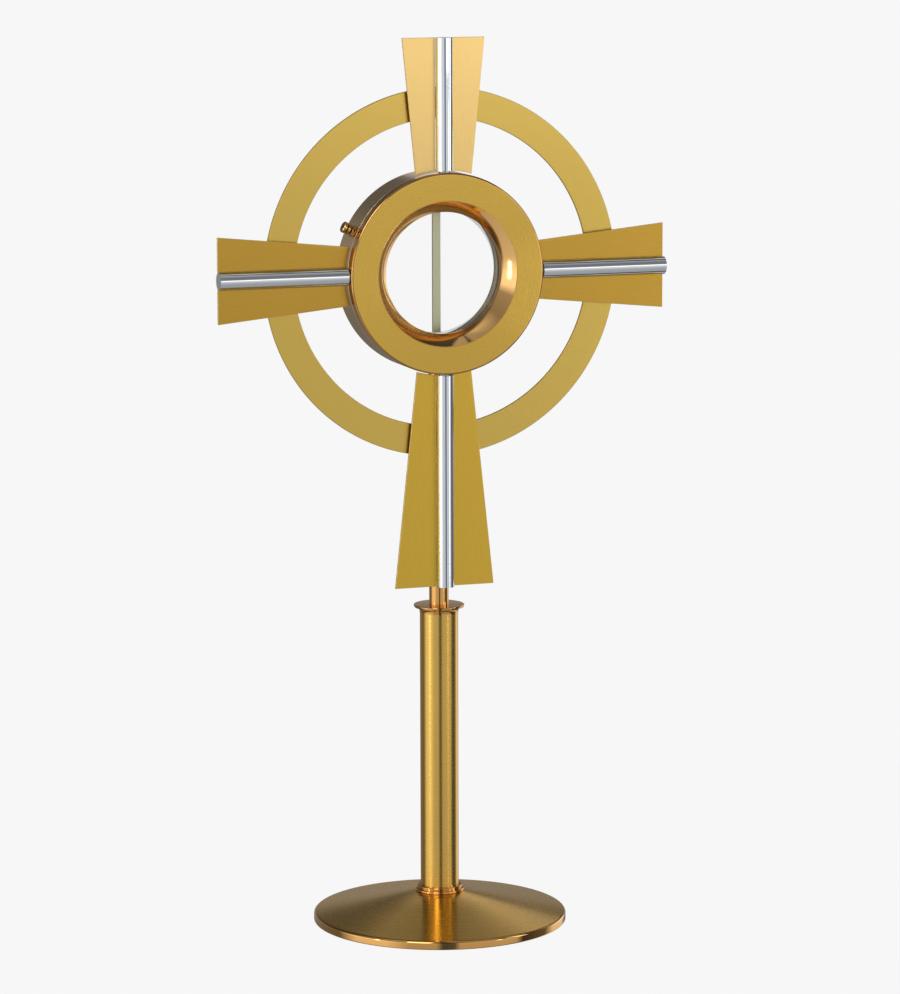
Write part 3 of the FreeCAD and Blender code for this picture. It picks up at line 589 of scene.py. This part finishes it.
def studio_floor():
    """Plain pale floor, which reflections don't see."""
    rim = []
    for side in range(FLOOR_SIDES):
        angle = 2 * math.pi * side / FLOOR_SIDES
        rim.append((FLOOR_RADIUS * math.cos(angle), FLOOR_RADIUS * math.sin(angle), 0))
    mesh = bpy.data.meshes.new("studio_floor")
    mesh.from_pydata(rim, [], [tuple(range(FLOOR_SIDES))])
    shader = Shader("studio_paper")
    surface = shader.surface
    surface.inputs["Base Color"].default_value = (FLOOR_GREY, FLOOR_GREY, FLOOR_GREY, 1)
    surface.inputs["Roughness"].default_value = 1.0
    surface.inputs["Specular IOR Level"].default_value = 0.0
    shader.link(for_camera(shader.tree, SEEN_FLOOR, FLOOR_LIGHT), surface.inputs["Emission Color"])
    surface.inputs["Emission Strength"].default_value = 1.0
    mesh.materials.append(shader.material)
    floor = put_in_scene("studio_floor", mesh)
    floor.visible_glossy = False


def area_light(name, spot, target, width, height, power):
    """A softbox that faces the target."""
    lamp = bpy.data.lights.new(name, "AREA")
    lamp.shape = "RECTANGLE"
    lamp.size = width
    lamp.size_y = height
    lamp.energy = power
    item = put_in_scene(name, lamp)
    item.location = spot
    item.rotation_euler = (Vector(target) - Vector(spot)).to_track_quat("-Z", "Y").to_euler()
    item.visible_camera = False


def ramp(tree, source, stops):
    """A colour ramp of greys or colours."""
    made = tree.nodes.new("ShaderNodeValToRGB")
    elements = made.color_ramp.elements
    while len(elements) < len(stops):
        elements.new(0.5)
    for element, (position, color) in zip(elements, stops):
        element.position = position
        element.color = (*color, 1) if isinstance(color, tuple) else (color, color, color, 1)
    tree.links.new(source, made.inputs[0])
    return made.outputs[0]


def scaled(tree, source, factor, shift):
    """A value times a factor, plus a shift."""
    made = tree.nodes.new("ShaderNodeMath")
    made.operation = "MULTIPLY_ADD"
    tree.links.new(source, made.inputs[0])
    made.inputs[1].default_value = factor
    made.inputs[2].default_value = shift
    return made.outputs[0]


def studio_light():
    """Room light in soft upright bands and level bands, and softboxes."""
    world = bpy.data.worlds.new("studio_world")
    bpy.context.scene.world = world
    world.use_nodes = True
    tree = world.node_tree
    split = tree.nodes.new("ShaderNodeSeparateXYZ")
    tree.links.new(tree.nodes.new("ShaderNodeTexCoord").outputs["Generated"], split.inputs[0])
    x, y, z = split.outputs
    turn = tree.nodes.new("ShaderNodeMath")
    turn.operation = "ARCTAN2"
    tree.links.new(x, turn.inputs[0])
    tree.links.new(scaled(tree, y, -1.0, 0.0), turn.inputs[1])
    around = ramp(tree, scaled(tree, turn.outputs[0], 0.5 / math.pi, 0.5), AROUND)
    upward = ramp(tree, scaled(tree, z, 0.5, 0.5), UPWARD)
    mix = tree.nodes.new("ShaderNodeVectorMath")
    mix.operation = "MULTIPLY"
    tree.links.new(around, mix.inputs[0])
    tree.links.new(upward, mix.inputs[1])
    strong = tree.nodes.new("ShaderNodeVectorMath")
    strong.operation = "SCALE"
    strong.inputs["Scale"].default_value = ROOM_STRENGTH
    tree.links.new(mix.outputs[0], strong.inputs[0])
    backdrop = for_camera(tree, SEEN_BACKDROP, strong.outputs[0])
    tree.links.new(backdrop, tree.nodes["Background"].inputs["Color"])
    for softbox in SOFTBOXES:
        area_light(*softbox)


def camera():
    azimuth = math.radians(CAMERA_AZIMUTH)
    elevation = math.radians(CAMERA_ELEVATION)
    roll = math.radians(CAMERA_ROLL)
    forward = Vector((math.sin(azimuth) * math.cos(elevation), math.cos(azimuth) * math.cos(elevation),
                      -math.sin(elevation)))
    right = Vector((math.cos(azimuth), -math.sin(azimuth), 0))
    up = right.cross(forward)
    across = right * math.cos(roll) + up * math.sin(roll)
    upward = up * math.cos(roll) - right * math.sin(roll)
    spot = (Vector(CAMERA_TARGET) - forward * CAMERA_DISTANCE) * MM
    data = bpy.data.cameras.new("camera")
    data.sensor_width = SENSOR
    data.lens = FOCAL_SHARE * SENSOR
    data.clip_end = 50
    item = put_in_scene("camera", data)
    turn = Matrix((across, upward, -forward)).transposed()
    item.matrix_world = Matrix.Translation(spot) @ turn.to_4x4()
    bpy.context.scene.camera = item


base()
column()
drum()
halo()
knurled_ring()
dress_nodes()
studio_floor()
studio_light()
camera()
bpy.context.scene.view_settings.view_transform = "Standard"
